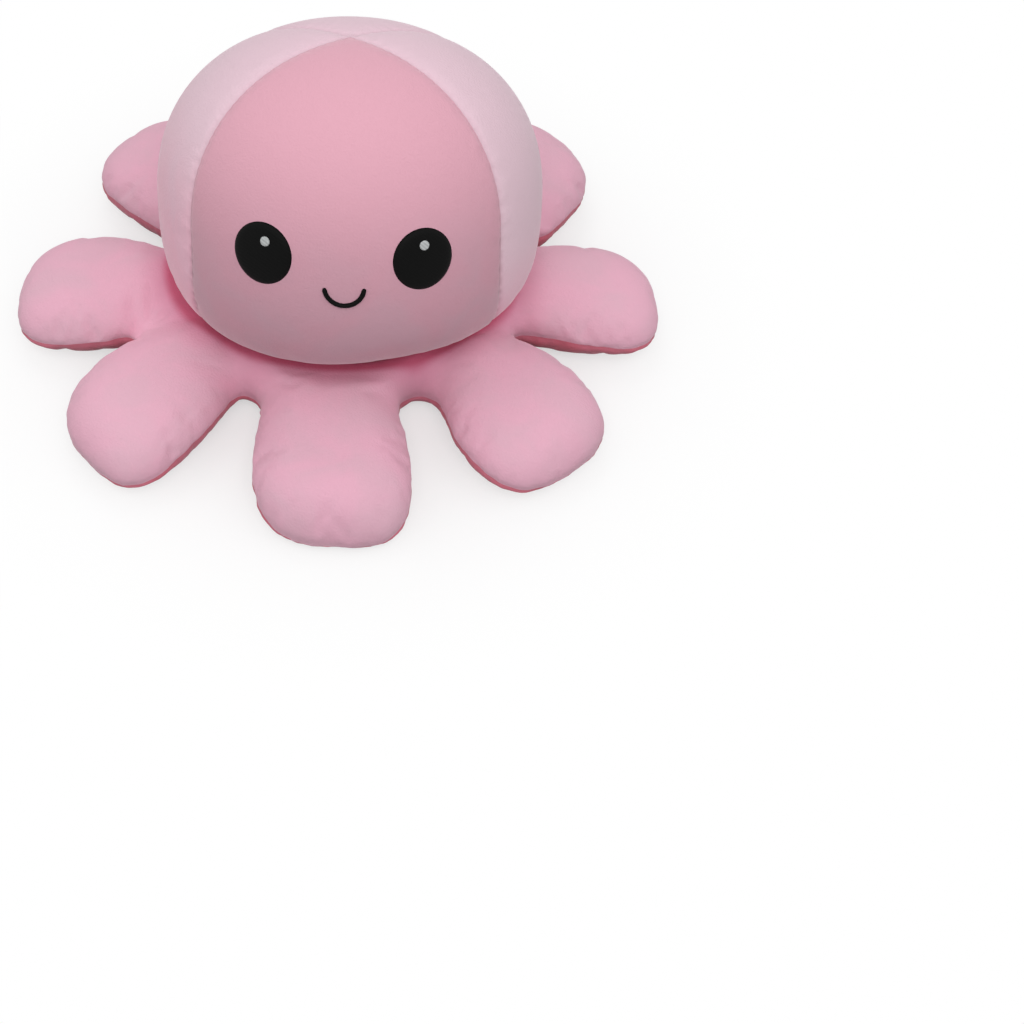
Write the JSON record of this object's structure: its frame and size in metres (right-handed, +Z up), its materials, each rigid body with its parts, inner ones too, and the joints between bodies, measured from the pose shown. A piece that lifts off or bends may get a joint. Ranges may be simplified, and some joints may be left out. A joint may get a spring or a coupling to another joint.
{
  "type": "plush octopus",
  "caption": "Reversible stuffed octopus toy: a round sewn head with a smiling face on a ring of short stuffed arms, hollow underneath so that it turns inside out.",
  "frame": {"origin": "on the surface that the toy rests on, under the middle of its skirt and arms", "axes": "+Z up, the face looks along -Y, +X to the right of someone who faces the toy"},
  "size_m": [0.2, 0.2, 0.1039],
  "materials": {
    "light_cloth": "short velvety pile, light pink",
    "pale_cloth": "short velvety pile, light pink whose nap shows paler and greyer",
    "dark_cloth": "short velvety pile, dark rose pink",
    "filling": "white polyester fibre filling",
    "black_thread": "black satin stitch embroidery",
    "white_thread": "white satin stitch embroidery"
  },
  "bodies": {
    "skirt": {"skirt_top": "light_cloth", "skirt_underside": "dark_cloth", "skirt_stuffing": "filling"},
    "head": {"head_front_panel": "light_cloth", "head_right_panel": "pale_cloth", "head_back_panel": "pale_cloth", "head_left_panel": "pale_cloth", "pocket_front_panel": "dark_cloth", "pocket_right_panel": "dark_cloth", "pocket_back_panel": "dark_cloth", "pocket_left_panel": "dark_cloth", "head_stuffing": "filling", "left_eye": "black_thread", "left_eye_glint": "white_thread", "right_eye": "black_thread", "right_eye_glint": "white_thread", "smile": "black_thread", "sulky_left_eye": "black_thread", "sulky_left_eye_glint": "white_thread", "sulky_right_eye": "black_thread", "sulky_right_eye_glint": "white_thread", "frown": "black_thread"},
    "front_arm": {"front_arm_top": "light_cloth", "front_arm_underside": "dark_cloth", "front_arm_stuffing": "filling"},
    "front_right_arm": {"front_right_arm_top": "light_cloth", "front_right_arm_underside": "dark_cloth", "front_right_arm_stuffing": "filling"},
    "right_arm": {"right_arm_top": "light_cloth", "right_arm_underside": "dark_cloth", "right_arm_stuffing": "filling"},
    "back_right_arm": {"back_right_arm_top": "light_cloth", "back_right_arm_underside": "dark_cloth", "back_right_arm_stuffing": "filling"},
    "back_arm": {"back_arm_top": "light_cloth", "back_arm_underside": "dark_cloth", "back_arm_stuffing": "filling"},
    "back_left_arm": {"back_left_arm_top": "light_cloth", "back_left_arm_underside": "dark_cloth", "back_left_arm_stuffing": "filling"},
    "left_arm": {"left_arm_top": "light_cloth", "left_arm_underside": "dark_cloth", "left_arm_stuffing": "filling"},
    "front_left_arm": {"front_left_arm_top": "light_cloth", "front_left_arm_underside": "dark_cloth", "front_left_arm_stuffing": "filling"}
  },
  "joints": [
    {"name": "head_nod", "type": "hinge", "parent": "skirt", "child": "head", "pos_m": [0, 0, 0.05269], "axis": [1, 0, 0], "range_deg": [-12, 12], "stiffness_Nm_per_rad": 0.5},
    {"name": "front_arm_lift", "type": "hinge", "parent": "skirt", "child": "front_arm", "pos_m": [0, -0.05097, 0.0195], "axis": [-1, 0, 0], "range_deg": [-12, 60], "stiffness_Nm_per_rad": 0.04},
    {"name": "front_right_arm_lift", "type": "hinge", "parent": "skirt", "child": "front_right_arm", "pos_m": [0.03604, -0.03604, 0.0195], "axis": [-0.7071, -0.7071, 0], "range_deg": [-12, 60], "stiffness_Nm_per_rad": 0.04},
    {"name": "right_arm_lift", "type": "hinge", "parent": "skirt", "child": "right_arm", "pos_m": [0.05097, 0, 0.0195], "axis": [0, -1, 0], "range_deg": [-12, 60], "stiffness_Nm_per_rad": 0.04},
    {"name": "back_right_arm_lift", "type": "hinge", "parent": "skirt", "child": "back_right_arm", "pos_m": [0.03604, 0.03604, 0.0195], "axis": [0.7071, -0.7071, 0], "range_deg": [-12, 60], "stiffness_Nm_per_rad": 0.04},
    {"name": "back_arm_lift", "type": "hinge", "parent": "skirt", "child": "back_arm", "pos_m": [0, 0.05097, 0.0195], "axis": [1, 0, 0], "range_deg": [-12, 60], "stiffness_Nm_per_rad": 0.04},
    {"name": "back_left_arm_lift", "type": "hinge", "parent": "skirt", "child": "back_left_arm", "pos_m": [-0.03604, 0.03604, 0.0195], "axis": [0.7071, 0.7071, 0], "range_deg": [-12, 60], "stiffness_Nm_per_rad": 0.04},
    {"name": "left_arm_lift", "type": "hinge", "parent": "skirt", "child": "left_arm", "pos_m": [-0.05097, 0, 0.0195], "axis": [0, 1, 0], "range_deg": [-12, 60], "stiffness_Nm_per_rad": 0.04},
    {"name": "front_left_arm_lift", "type": "hinge", "parent": "skirt", "child": "front_left_arm", "pos_m": [-0.03604, -0.03604, 0.0195], "axis": [-0.7071, 0.7071, 0], "range_deg": [-12, 60], "stiffness_Nm_per_rad": 0.04}
  ]
}
